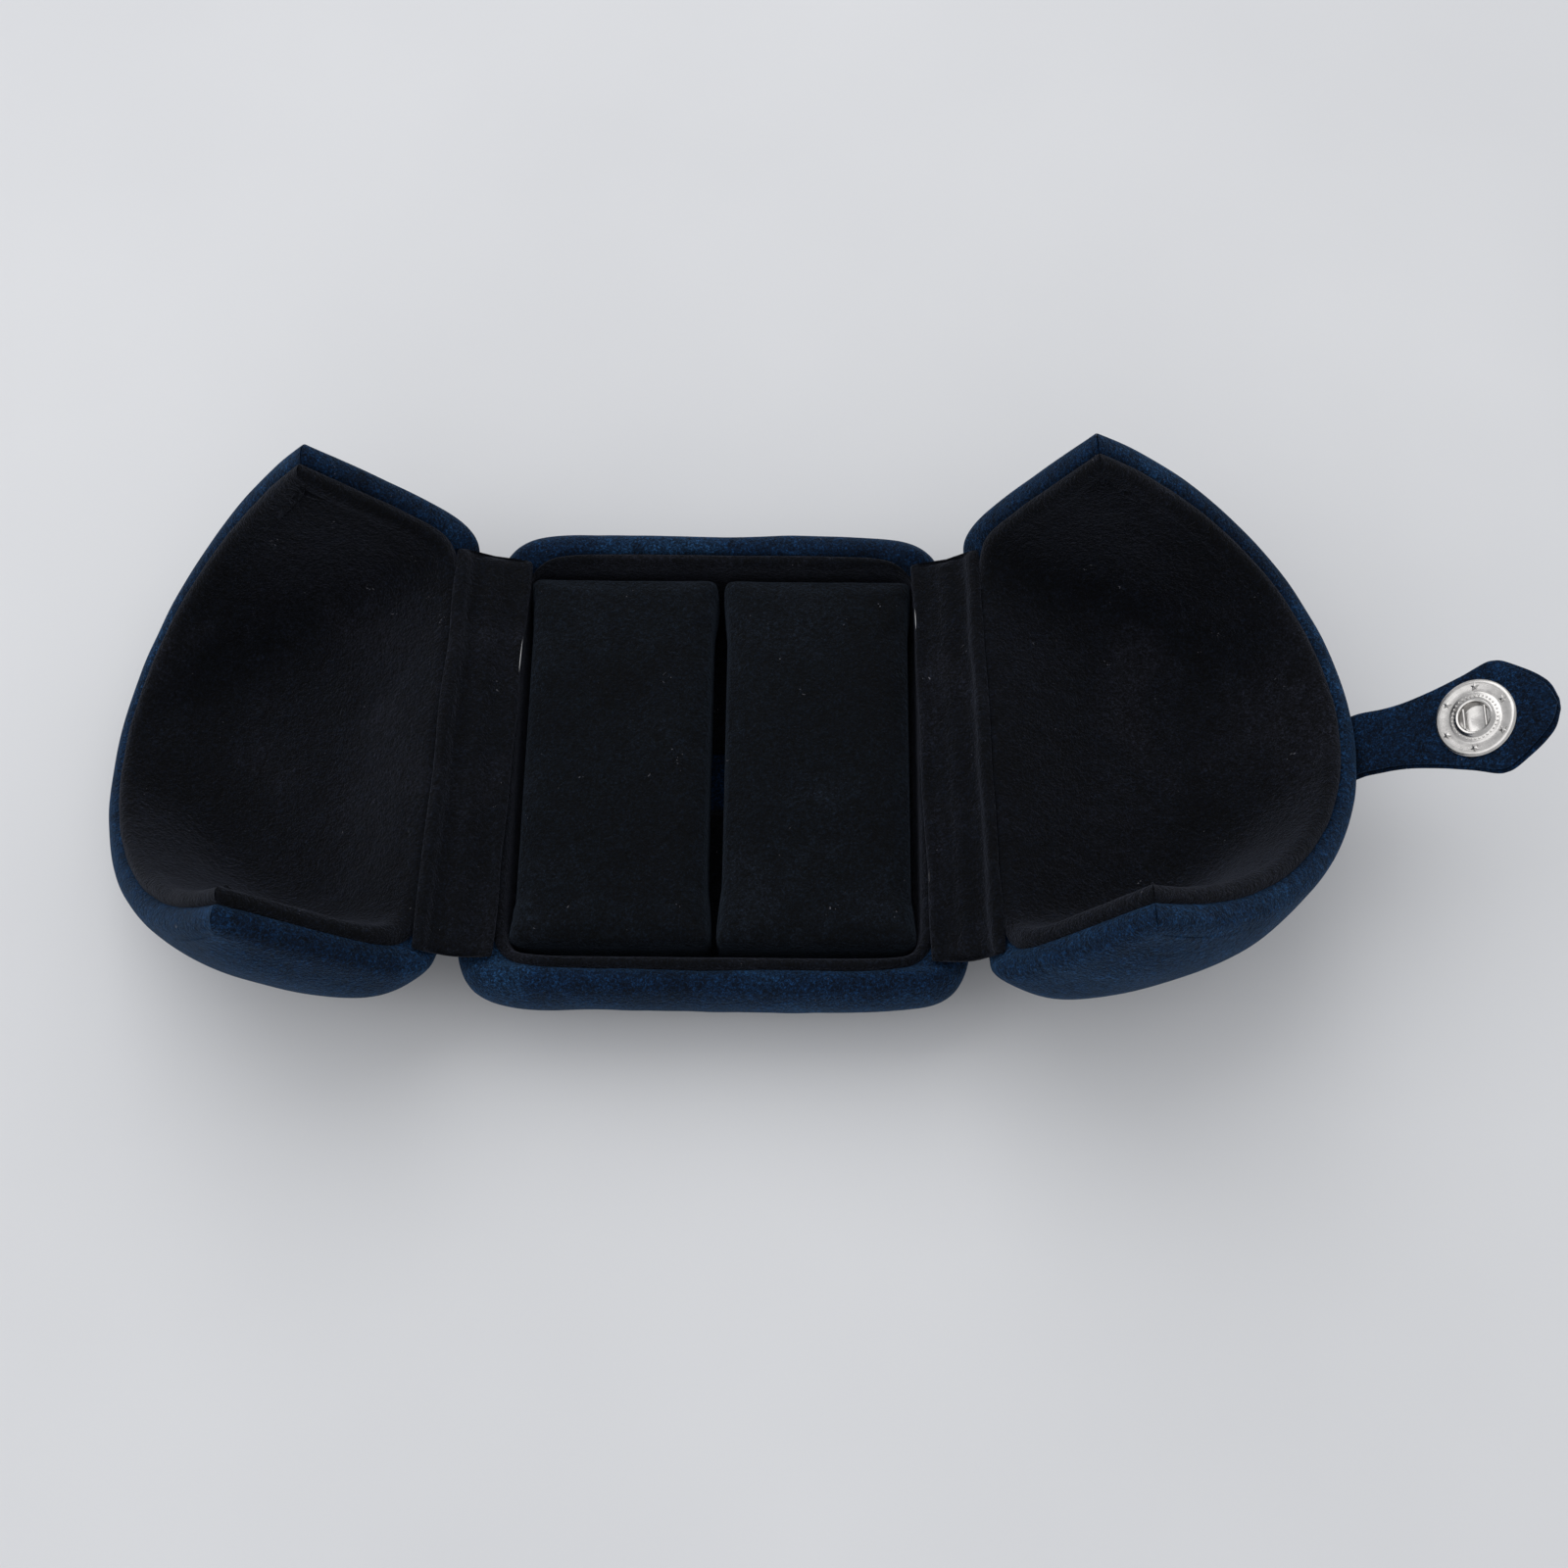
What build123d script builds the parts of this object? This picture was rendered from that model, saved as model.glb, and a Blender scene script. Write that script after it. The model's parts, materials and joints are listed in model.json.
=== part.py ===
"""Double-door velvet ring box with a press-stud strap, standing open.

A shallow padded tray stands on the table. Two half-dome lids are hinged on its left and right
rims and meet over its middle when shut. A strap on the right lid then folds over the seam and
snaps onto a stud on the left lid. The origin is the middle of the tray's underside, X runs
across both hinges, Y towards the back and Z up. Sizes are millimetres and angles degrees.
Both lids are drawn shut, as the right-hand lid, and then opened about their hinge axes.
"""
from build123d import *
import os
from math import cos, radians, sin, sqrt, tan

# --- driving dimensions -----------------------------------------------------------------
HALF_DEPTH = 36.0          # half the box from front to back
HINGE_X = 34.9             # hinge axis from the middle plane, half way along the hinge
HINGE_Z = 17.8             # height of the hinge axis, in the seam between tray and lid
TOE_IN = 1.9               # each hinge line closes in by this angle towards the back
WALL_X = HINGE_X + 0.4     # outer face of a side wall, half way along the hinge
LID_RISE = 46.1            # top of the shut lids above the seam
LEFT_OPEN = 136.6          # how far the left lid stands open
RIGHT_OPEN = 123.2         # how far the right lid stands open
SEAM_GAP = 0.3             # half of the gap between the parts that meet when the box is shut
CLEAR = 0.35               # running clearance round parts that move

COVER = 0.8                # navy velvet skin
RIM_BAND = 3.6             # width of the navy band round each mouth
SHELL = 1.2                # stiff shell of a lid
LID_WALL = 5.2             # whole wall of a lid, from the cover to the lining's inner face
LINING = 0.8               # black velvet lining
BASE_SHELL = 1.6           # stiff shell of the tray
CORNER = 9.0               # plan radius of the box's corners
BOTTOM_EDGE = 8.0          # radius of the tray's bottom edge
LID_CORNER_GROWTH = 0.5    # how much rounder a lid's corners get towards its top
WALL_BOW = 1.6             # how far a lid's front and back walls bow out at mid height
RIM_BOW = 0.3              # and at the seam

CUSHION_HALF_X = 29.1      # outer edge of each ring cushion
CUSHION_HALF_Y = 29.9
CUSHION_TOP = 17.0
CUSHION_FLOOR = 4.8
CUSHION_CORNER = 2.0       # upright edges of a cushion
CUSHION_EDGE = 1.5         # round of its top edge
WELL_CORNER = 3.0          # upright edges of the well round the cushions
SLOT_HALF = 2.2            # half the ring slot between the two cushions

BARREL_R = 0.9             # hinge knuckle, slim enough for velvet to fold over it
BARREL_ROOM = 1.55         # radius kept free round each hinge line
PIN_R = 0.3
PIN_HOLE_R = 0.36
KNUCKLE = 10.0             # length of one knuckle
KNUCKLES = 5
KNUCKLE_GAP = 0.3
LEAF = 0.4                 # thickness of a hinge leaf
LEAF_REACH = 5.0           # from the hinge axis to a leaf's far edge
GUSSET = 0.5               # velvet strip folded over the hinge
GUSSET_REACH = 6.4
GUSSET_HALF_Y = 31.5

STRAP_LENGTH = 25.8        # from the fold at the lid to the tip
STRAP_NECK = 8.5           # from the fold at the lid to the second fold
STRAP_NECK_W = 9.2
STRAP_TAB_W = 15.8
STRAP_THICK = 1.5          # facing, stiffener and outer velvet together
STRAP_FACING = 0.6
STRAP_STIFFENER = 0.3
STRAP_AXIS_RISE = 1.9      # fold's height above the top of the lids
STRAP_OFFSET = -2.0        # the strap is sewn this far off the middle
STRAP_SKEW = 5.0           # and turned this much towards the front
STRAP_SHUT_SLOPE = (1.0, 28.0)   # how far each part of the strap slopes down on a shut box
STRAP_REST_RISE = 16.0     # how far the strap springs up from the lid at rest
ROOT_START = 0.6           # the sewn part of the strap, from the middle plane
ROOT_LENGTH = 9.0
FOLD_GAP = 0.5             # between the parts of the strap at a fold

SOCKET_AT = 15.0           # snap centre from the fold at the lid
SOCKET_R = 5.5
SOCKET_HOLE_R = 2.2
SOCKET_PROUD = 0.9
SOCKET_EDGE = 0.6          # round of the socket's outer edge
SLEEVE_WALL = 0.4          # sleeve that clinches the socket through the facing
SPRING_DEPTH = 0.4         # of the spring wires below the socket's face
SPRING_WIRE_R = 0.2
SPRING_AT = 1.45
STUD_FLANGE_R = 3.6
STUD_NECK_R = 0.95
STUD_HEAD_R = 1.6
STUD_REACH = 1.75          # head's top above the flange
STUD_FLANGE = 0.6          # thickness of the flange
STUD_HEAD_START = 1.15
STUD_HEAD_EDGE = 0.4
STUD_SHANK_R = 1.0
STUD_SHANK = 3.6           # shank's end below the flange's face
WASHER_R = 3.0
WASHER = 0.5
CAP_R = 5.0
CAP_HEIGHT = 1.0
CAP_EDGE = 0.8
STARS = 6
STAR_RING_R = 4.35
STAR_R = 0.6
STAR_WAIST = 0.45          # inner points of a star, as a share of its radius
STAR_TURN = 12.0           # of the first star from the strap's own line
STAR_LOW, STAR_HIGH = -0.15, 0.25
BEADS = 30
BEAD_RING_R = 3.25
BEAD_R = 0.2

# --- derived places ---------------------------------------------------------------------
TOP_Z = HINGE_Z + LID_RISE
RIM_Z = HINGE_Z - SEAM_GAP
TOE = tan(radians(TOE_IN))
RIGHT_AXIS = Axis((HINGE_X, 0, HINGE_Z), (-sin(radians(TOE_IN)), cos(radians(TOE_IN)), 0))
HINGE_FRAME = Location(Plane((HINGE_X, 0, HINGE_Z),
                             x_dir=(cos(radians(TOE_IN)), sin(radians(TOE_IN)), 0),
                             z_dir=(0, 0, 1)))
HINGE_HALF_Y = KNUCKLES * KNUCKLE / 2
BIG = 200.0
DOME_LEVELS = (0, 12, 24, 36, 48, 60, 70, 78, 84, 87)   # level angles of the dome's sections
SEAM_OVERLAP = 2.0         # the dome is drawn this far past both seams, then trimmed
FOLD_ANGLES = (STRAP_REST_RISE + STRAP_SHUT_SLOPE[0], STRAP_SHUT_SLOPE[1] - STRAP_SHUT_SLOPE[0])


def block(x0, x1, y0, y1, z0, z1):
    """Box between two corners."""
    return Pos((x0 + x1) / 2, (y0 + y1) / 2, (z0 + z1) / 2) * Box(x1 - x0, y1 - y0, z1 - z0)


def to_left(shape):
    """The same shape on the other side of the middle plane."""
    return mirror(shape, Plane.YZ)


def open_right(shape):
    return shape.rotate(RIGHT_AXIS, RIGHT_OPEN)


def open_left(shape):
    """Mirror a shut right-hand shape, with the left lid's own opening."""
    return to_left(shape.rotate(RIGHT_AXIS, LEFT_OPEN))


# --- tray -------------------------------------------------------------------------------
def tray_body(inset, top, floor):
    """Solid tray whose walls stand `inset` inside the outer faces."""
    front = WALL_X + HALF_DEPTH * TOE - inset
    back = WALL_X - HALF_DEPTH * TOE - inset
    depth = HALF_DEPTH - inset
    plan = make_face(Polyline((-front, -depth), (front, -depth), (back, depth), (-back, depth),
                              close=True))
    plan = fillet(plan.vertices(), max(CORNER - inset, 1.0))
    solid = extrude(Pos(0, 0, floor) * plan, top - floor)
    edge = BOTTOM_EDGE - inset
    return fillet(solid.faces().sort_by(Axis.Z)[0].edges(), edge) if edge > 0.5 else solid


def hinge_channel():
    """Room for the barrels of both hinges, along the whole seam."""
    right = HINGE_FRAME * Rot(90, 0, 0) * Cylinder(BARREL_ROOM, BIG)
    return [right, to_left(right)]


def hinge_slab(side, near, far, start, reach, half_y):
    """Flat strip along a hinge, in the shut frame; side is -1 under the seam and 1 over it."""
    z0, z1 = sorted((side * near, side * far))
    return HINGE_FRAME * block(-reach, -start, -half_y, half_y, z0, z1)


def gusset_strip(side, start=BARREL_ROOM):
    return hinge_slab(side, SEAM_GAP, SEAM_GAP + GUSSET, start, GUSSET_REACH, GUSSET_HALF_Y)


def hinge_pockets(side):
    """Room that the gusset and the leaf take in the tray or in a lid."""
    near = SEAM_GAP + GUSSET
    leaf = hinge_slab(side, near, near + LEAF, 0, LEAF_REACH, HINGE_HALF_Y)
    return [gusset_strip(side, 0), leaf]


def cushion_well():
    well = block(-CUSHION_HALF_X - CLEAR, CUSHION_HALF_X + CLEAR,
                 -CUSHION_HALF_Y - CLEAR, CUSHION_HALF_Y + CLEAR, CUSHION_FLOOR, BIG)
    return fillet(well.edges().filter_by(Axis.Z), WELL_CORNER)


def base_parts():
    pockets = hinge_pockets(-1)
    cuts = hinge_channel() + pockets + [to_left(pocket) for pocket in pockets]
    low = block(-BIG, BIG, -BIG, BIG, 0, RIM_Z - COVER)
    outer = tray_body(0, RIM_Z, 0)
    inner = tray_body(COVER, BIG, COVER)
    band = tray_body(RIM_BAND, BIG, RIM_BAND)
    core = tray_body(COVER + BASE_SHELL, BIG, COVER + BASE_SHELL)
    below = block(-BIG, BIG, -BIG, BIG, 0, RIM_Z)
    cover = outer - band - (inner & low) - cuts
    shell = (inner & low) - core - cuts
    lining = (((core & low) + (band & below)) - cushion_well()) - cuts
    return {"base_cover": cover, "base_shell": shell, "base_lining": lining}


def cushion():
    """Right-hand half of the ring cushion."""
    bar = block(SLOT_HALF, CUSHION_HALF_X, -CUSHION_HALF_Y, CUSHION_HALF_Y,
                CUSHION_FLOOR, CUSHION_TOP)
    bar = fillet(bar.edges().filter_by(Axis.Z), CUSHION_CORNER)
    return fillet(bar.faces().sort_by(Axis.Z)[-1].edges(), CUSHION_EDGE)


# --- lids, drawn shut on the right ------------------------------------------------------
def lid_section(inset, angle, over):
    """Half of the dome's outline at one height; angle is 0 at the seam and 90 at the top."""
    scale = cos(radians(angle))
    front = (WALL_X + HALF_DEPTH * TOE - inset) * scale
    back = (WALL_X - HALF_DEPTH * TOE - inset) * scale
    depth = (HALF_DEPTH - inset) * scale
    bow = WALL_BOW * sin(radians(2 * angle)) + RIM_BOW * scale
    outline = (Line((-over, -depth), (0, -depth))
               + ThreePointArc((0, -depth), (front / 2, -depth - bow), (front, -depth))
               + Line((front, -depth), (back, depth))
               + ThreePointArc((back, depth), (back / 2, depth + bow), (0, depth))
               + Line((0, depth), (-over, depth))
               + Line((-over, depth), (-over, -depth)))
    face = make_face(outline)
    share = CORNER / HALF_DEPTH * (1 + LID_CORNER_GROWTH * (1 - scale) * 2)
    corners = [v for v in face.vertices() if v.X > back / 2]
    height = HINGE_Z + (LID_RISE - inset) * sin(radians(angle))
    return Pos(0, 0, height) * fillet(corners, share * depth)


def dome(inset):
    """Solid dome over the right half of the box, running a little past the seams."""
    over = SEAM_OVERLAP
    body = loft([lid_section(inset, angle, over) for angle in DOME_LEVELS])
    skirt = extrude(lid_section(inset, 0, over), -over)
    return body + skirt


def lid_room(inset):
    """Everything on the lid's own side of both seams."""
    edge = SEAM_GAP + inset
    return block(edge, BIG, -BIG, BIG, HINGE_Z + edge, BIG)


def lid_parts():
    cuts = hinge_channel() + hinge_pockets(1)
    outer, skin = dome(0), dome(COVER)
    core, band = dome(COVER + SHELL), dome(RIM_BAND)
    pad, hollow = dome(LID_WALL - LINING), dome(LID_WALL)
    cover = (outer & lid_room(0)) - band - (skin & lid_room(COVER)) - cuts
    shell = (skin & lid_room(COVER)) - core - cuts
    padding = (core & lid_room(COVER)) - pad - (band & lid_room(0) - pad) - cuts
    lining = (band & lid_room(0)) - hollow - cuts
    return {"cover": cover, "shell": shell, "padding": padding, "lining": lining}


# --- hinges, drawn shut on the right ----------------------------------------------------
def hinge_leaf(side, knuckles):
    """One leaf with its rolled knuckles; side is -1 for the tray's leaf and 1 for the lid's."""
    near, far = SEAM_GAP + GUSSET, SEAM_GAP + GUSSET + LEAF
    z0, z1 = sorted((side * near, side * far))
    leaf = block(-LEAF_REACH, -BARREL_ROOM, -HINGE_HALF_Y, HINGE_HALF_Y, z0, z1)
    for index in knuckles:
        y0 = -HINGE_HALF_Y + index * KNUCKLE + KNUCKLE_GAP / 2
        y1 = y0 + KNUCKLE - KNUCKLE_GAP
        roll = Pos(0, (y0 + y1) / 2, 0) * Rot(90, 0, 0) * Cylinder(BARREL_R, y1 - y0)
        leaf = leaf + roll + block(-BARREL_ROOM, 0, y0, y1, z0, z1)
    hole = Rot(90, 0, 0) * Cylinder(PIN_HOLE_R, BIG)
    return HINGE_FRAME * (leaf - hole)


def hinge_pin():
    return HINGE_FRAME * Rot(90, 0, 0) * Cylinder(PIN_R, KNUCKLES * KNUCKLE)


# --- strap, drawn shut ------------------------------------------------------------------
def strap_point(along):
    """Point of the shut strap's middle line, seen from the front: x, z."""
    slopes = [radians(slope) for slope in STRAP_SHUT_SLOPE]
    first = min(along, STRAP_NECK)
    second = max(along - STRAP_NECK, 0)
    x = -first * cos(slopes[0]) - second * cos(slopes[1])
    z = TOP_Z + STRAP_AXIS_RISE - first * sin(slopes[0]) - second * sin(slopes[1])
    return x, z


def strap_place(shape_along, part):
    """Move a shape drawn flat along +X from its fold onto the shut box."""
    x, z = strap_point(0 if part == 0 else STRAP_NECK)
    flat = Rot(0, -STRAP_SHUT_SLOPE[part], 0) * Rot(0, 0, 180) * shape_along
    placed = Pos(x, 0, z) * flat
    return Pos(0, STRAP_OFFSET, 0) * placed.rotate(Axis.Z, STRAP_SKEW)


def strap_outline(start, end):
    """Flat outline of the strap between two stations: a neck that flares to an ogee tab."""
    half_neck, half_tab = STRAP_NECK_W / 2, STRAP_TAB_W / 2
    half = Spline((-3, half_neck), (3, half_neck - 0.1), (8, half_neck + 0.9),
                  (13.5, half_tab - 0.9), (17.8, half_tab), (21.3, half_tab - 1.9),
                  (24.6, half_tab - 4.4), (STRAP_LENGTH, 0),
                  tangents=((1, 0), (0, -1)))
    outline = half + mirror(half, Plane.XZ) + Line((-3, -half_neck), (-3, half_neck))
    face = make_face(outline)
    window = Pos((start + end) / 2, 0) * Rectangle(end - start, BIG)
    return face & window


def strap_layers(start, end, part):
    """Outer velvet, stiffener and facing of one stretch, from its fold; +Z is the outside."""
    local = 0 if part == 0 else STRAP_NECK
    face = Pos(-local, 0, 0) * strap_outline(start, end)
    low = -STRAP_THICK / 2
    mid = low + STRAP_FACING
    high = mid + STRAP_STIFFENER
    facing = extrude(Pos(0, 0, low) * face, STRAP_FACING)
    stiffener = extrude(Pos(0, 0, mid) * face, STRAP_STIFFENER)
    outer = extrude(Pos(0, 0, high) * face, STRAP_THICK / 2 - high)
    return {"facing": facing, "stiffener": stiffener, "outer": outer}


def star(size):
    """Small five-pointed star, as a flat face."""
    points = []
    for index in range(10):
        reach = size if index % 2 == 0 else size * STAR_WAIST
        turn = radians(36 * index)
        points.append((reach * cos(turn), reach * sin(turn)))
    return make_face(Polyline(*points, close=True))


def snap_socket():
    """Socket ring on the facing, drawn at the tab's own place with its face towards -Z."""
    low = -STRAP_THICK / 2
    seat = STRAP_FACING + STRAP_STIFFENER
    ring = extrude(Pos(0, 0, low - SOCKET_PROUD) * Circle(SOCKET_R), SOCKET_PROUD)
    ring = fillet(ring.faces().sort_by(Axis.Z)[0].edges(), SOCKET_EDGE)
    sleeve = extrude(Pos(0, 0, low) * Circle(SOCKET_HOLE_R + SLEEVE_WALL), seat)
    socket = ring + sleeve
    face_z = low - SOCKET_PROUD
    for index in range(STARS):
        turn = 360 / STARS * index + STAR_TURN
        mark = Rot(0, 0, turn) * Pos(STAR_RING_R, 0, face_z + STAR_LOW) * star(STAR_R)
        socket += extrude(mark, STAR_HIGH - STAR_LOW)
    for index in range(BEADS):
        turn = 360 / BEADS * index
        socket += Rot(0, 0, turn) * Pos(BEAD_RING_R, 0, face_z) * Sphere(BEAD_R)
    return socket - Cylinder(SOCKET_HOLE_R, BIG)


def snap_springs():
    """The two wires that grip the stud's neck inside the socket."""
    z = -STRAP_THICK / 2 - SOCKET_PROUD + SPRING_DEPTH
    half = sqrt(SOCKET_HOLE_R ** 2 - (SPRING_AT + SPRING_WIRE_R) ** 2)
    wire = Pos(SPRING_AT, 0, z) * Rot(90, 0, 0) * Cylinder(SPRING_WIRE_R, 2 * half)
    return [wire, Pos(-2 * SPRING_AT, 0, 0) * wire]


def snap_cap():
    """Domed cap on the strap's outer face."""
    top = STRAP_THICK / 2
    cap = Pos(0, 0, top) * extrude(Circle(CAP_R), CAP_HEIGHT)
    return fillet(cap.faces().sort_by(Axis.Z)[-1].edges(), CAP_EDGE)


def strap_parts():
    """Strap bodies, drawn on the shut box."""
    parts = {}
    neck = strap_layers(FOLD_GAP, STRAP_NECK - FOLD_GAP / 2, 0)
    for name, solid in neck.items():
        parts[f"strap_neck_{name}"] = strap_place(solid, 0)
    tab = strap_layers(STRAP_NECK + FOLD_GAP / 2, STRAP_LENGTH, 1)
    station = Pos(SOCKET_AT - STRAP_NECK, 0, 0)
    depth = STRAP_FACING + STRAP_STIFFENER
    bore = station * Pos(0, 0, -STRAP_THICK / 2) * Cylinder(SOCKET_HOLE_R + SLEEVE_WALL, 2 * depth)
    tab["facing"] -= bore
    tab["stiffener"] -= bore
    for name, solid in tab.items():
        parts[f"strap_tab_{name}"] = strap_place(solid, 1)
    parts["snap_socket"] = strap_place(station * snap_socket(), 1)
    springs = [strap_place(station * wire, 1) for wire in snap_springs()]
    parts["snap_socket_springs"] = Compound(children=springs)
    parts["snap_cap"] = strap_place(station * snap_cap(), 1)
    return parts


def strap_root():
    """Part of the strap that is sewn down on the right lid, over its top."""
    y0, y1 = STRAP_OFFSET - STRAP_NECK_W / 2, STRAP_OFFSET + STRAP_NECK_W / 2
    strip = block(ROOT_START, ROOT_START + ROOT_LENGTH, y0, y1, HINGE_Z, BIG)
    return (dome(-STRAP_THICK) & strip) - dome(0)


def snap_stud():
    """Stud on the left lid, drawn in the strap tab's frame so that it faces the socket."""
    face_z = -STRAP_THICK / 2 - SOCKET_PROUD - CLEAR
    flange = extrude(Pos(0, 0, face_z - STUD_FLANGE) * Circle(STUD_FLANGE_R), STUD_FLANGE)
    neck = extrude(Pos(0, 0, face_z) * Circle(STUD_NECK_R), STUD_REACH)
    head = extrude(Pos(0, 0, face_z + STUD_HEAD_START) * Circle(STUD_HEAD_R), STUD_REACH - STUD_HEAD_START)
    head = fillet(head.faces().sort_by(Axis.Z)[-1].edges(), STUD_HEAD_EDGE)
    shank = extrude(Pos(0, 0, face_z - STUD_SHANK) * Circle(STUD_SHANK_R), STUD_SHANK - STUD_FLANGE / 2)
    washer = extrude(Pos(0, 0, face_z - STUD_SHANK) * Circle(WASHER_R), WASHER)
    station = Pos(SOCKET_AT - STRAP_NECK, 0, 0)
    stud = strap_place(station * (flange + neck + head + shank), 1)
    return stud, strap_place(station * (washer - Cylinder(STUD_SHANK_R, BIG)), 1)


def fold_axis(part):
    """Fold line of the strap on the shut box."""
    x, z = strap_point(0 if part == 0 else STRAP_NECK)
    skew = radians(STRAP_SKEW)
    origin = (x * cos(skew), x * sin(skew) + STRAP_OFFSET, z)
    return Axis(origin, (-sin(skew), cos(skew), 0))


def strap_to_rest(parts):
    """Straighten the shut strap and raise it to where it springs at rest."""
    raised = {}
    for name, solid in parts.items():
        if not name.startswith("strap_neck"):
            solid = solid.rotate(fold_axis(1), FOLD_ANGLES[1])
        raised[name] = solid.rotate(fold_axis(0), FOLD_ANGLES[0])
    return raised


# --- whole box --------------------------------------------------------------------------
def build():
    parts = base_parts()
    half = cushion()
    parts["ring_cushion_right"] = half
    parts["ring_cushion_left"] = to_left(half)

    tray_knuckles = range(0, KNUCKLES, 2)
    lid_knuckles = range(1, KNUCKLES, 2)
    for name, place in (("right", lambda shape: shape), ("left", to_left)):
        parts[f"{name}_hinge_base_leaf"] = place(hinge_leaf(-1, tray_knuckles))
        parts[f"{name}_hinge_pin"] = place(hinge_pin())
        parts[f"{name}_gusset_base_half"] = place(gusset_strip(-1))

    lid = lid_parts()
    stud, washer = snap_stud()
    stud_pocket = to_left(stud)
    washer_pocket = to_left(washer)
    for name, opened in (("right", open_right), ("left", open_left)):
        for layer, solid in lid.items():
            if name == "left":
                solid = solid - stud_pocket - washer_pocket
            parts[f"{name}_lid_{layer}"] = opened(solid)
        parts[f"{name}_hinge_lid_leaf"] = opened(hinge_leaf(1, lid_knuckles))
        parts[f"{name}_gusset_lid_half"] = opened(gusset_strip(1))
    parts["snap_stud"] = open_left(to_left(stud))
    parts["snap_stud_washer"] = open_left(to_left(washer))

    parts["strap_root"] = open_right(strap_root())
    for name, solid in strap_to_rest(strap_parts()).items():
        parts[name] = open_right(solid)
    return parts


def report_axes():
    """Joint axes at rest, for the record."""
    for part in (0, 1):
        axis = fold_axis(part)
        ends = Edge.make_line(axis.position, axis.position + axis.direction)
        if part == 1:
            ends = ends.rotate(fold_axis(0), FOLD_ANGLES[0])
        ends = ends.rotate(RIGHT_AXIS, RIGHT_OPEN)
        start, end = ends @ 0, ends @ 1
        print("fold", part, tuple(round(v, 5) for v in start), tuple(round(v, 6) for v in end - start))
    print("hinge", tuple(RIGHT_AXIS.position), tuple(RIGHT_AXIS.direction))
    print("fold angles", FOLD_ANGLES)


if __name__ == "__main__":
    os.makedirs("parts", exist_ok=True)
    for node, shape in build().items():
        export_step(shape, f"parts/{node}.step")
    report_axes()
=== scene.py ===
"""Looks of the double-door velvet ring box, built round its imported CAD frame.

Shape functions work in millimetres. A lid is shaped on the shut box, as the right-hand lid:
x runs from the seam between the lids out to the hinge, y to the back, z up. It is then
turned about its hinge to where it stands at rest, and mirrored first for the left lid.
"""
import json
from math import cos, pi, radians, sin

import bmesh
import bpy
import numpy as np
from mathutils import Matrix, Vector, noise

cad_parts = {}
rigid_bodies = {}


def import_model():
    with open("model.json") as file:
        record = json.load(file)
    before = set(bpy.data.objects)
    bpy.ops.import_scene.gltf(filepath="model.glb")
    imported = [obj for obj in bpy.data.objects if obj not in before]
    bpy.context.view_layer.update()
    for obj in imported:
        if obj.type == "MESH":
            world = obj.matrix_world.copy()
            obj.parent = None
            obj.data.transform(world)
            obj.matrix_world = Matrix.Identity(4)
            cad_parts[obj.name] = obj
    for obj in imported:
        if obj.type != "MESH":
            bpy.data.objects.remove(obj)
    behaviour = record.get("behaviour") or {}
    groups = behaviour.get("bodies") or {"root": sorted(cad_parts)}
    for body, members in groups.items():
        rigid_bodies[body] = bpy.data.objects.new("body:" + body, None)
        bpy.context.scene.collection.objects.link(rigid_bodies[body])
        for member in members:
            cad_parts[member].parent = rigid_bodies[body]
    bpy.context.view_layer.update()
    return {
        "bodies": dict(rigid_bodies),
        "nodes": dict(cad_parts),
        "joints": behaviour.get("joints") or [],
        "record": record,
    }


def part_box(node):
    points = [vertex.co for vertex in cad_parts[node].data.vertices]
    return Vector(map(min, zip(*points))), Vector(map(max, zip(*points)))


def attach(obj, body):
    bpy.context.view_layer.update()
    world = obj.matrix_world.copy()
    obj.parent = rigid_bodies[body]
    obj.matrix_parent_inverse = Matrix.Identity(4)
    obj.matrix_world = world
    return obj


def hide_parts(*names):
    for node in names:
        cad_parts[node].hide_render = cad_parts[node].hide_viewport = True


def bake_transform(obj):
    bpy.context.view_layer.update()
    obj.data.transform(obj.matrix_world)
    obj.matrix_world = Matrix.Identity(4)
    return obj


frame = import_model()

MM = 0.001

# --- driving dimensions, from the frame where it has them (mm) --------------------------
JOINTS = {joint["name"]: joint for joint in frame["joints"]}
HINGE_X, _, HINGE_Z = (value / MM for value in JOINTS["right_lid_hinge"]["pos_m"])
TOE = JOINTS["right_lid_hinge"]["axis"][0]      # the hinge lines close in towards the back
TRAY_LOW, TRAY_HIGH = (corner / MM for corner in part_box("base_cover"))
PAD_LOW, PAD_HIGH = (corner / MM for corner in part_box("ring_cushion_right"))
HALF_DEPTH = TRAY_HIGH.y
WALL_X = TRAY_HIGH.x - TOE * HALF_DEPTH         # outer wall of the box, half way back
RIM_Z = TRAY_HIGH.z
SEAM = HINGE_Z - RIM_Z                          # half the gap between parts that meet
LID_RISE = 46.1                                 # top of the shut lids above the seam
PLAN_POWER = (9.0, 4.6)                         # how square the plan is, at the seam and the top
FRONT_BOW = 1.6                                 # bow of a lid's front and back walls
PUFF = 2.5                                      # how far the padding swells a lid's walls
PUFF_REACH = 6.0                                # distance from a rim over which it swells
LINING_PUFF = 1.1
HINGE_RECESS = 1.5                              # room under the gusset along each hinge
GUSSET_HALF_Y = 31.0
COVER_THICK = 0.8
LINING_INSET = 6.2                              # inner face of a lid's lining
COLUMNS = 180                                   # points from the front peak to the back peak
EDGE_SOFTNESS = 0.7                             # roundness of the skins where they meet a rim plane
GUSSET_RECESS_EDGE = 1.6                        # over which the recess fades past a gusset's end


# --- small tools ------------------------------------------------------------------------
def smooth_step(value, low, high):
    share = np.clip((value - low) / (high - low), 0, 1)
    return share * share * (3 - 2 * share)


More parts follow.
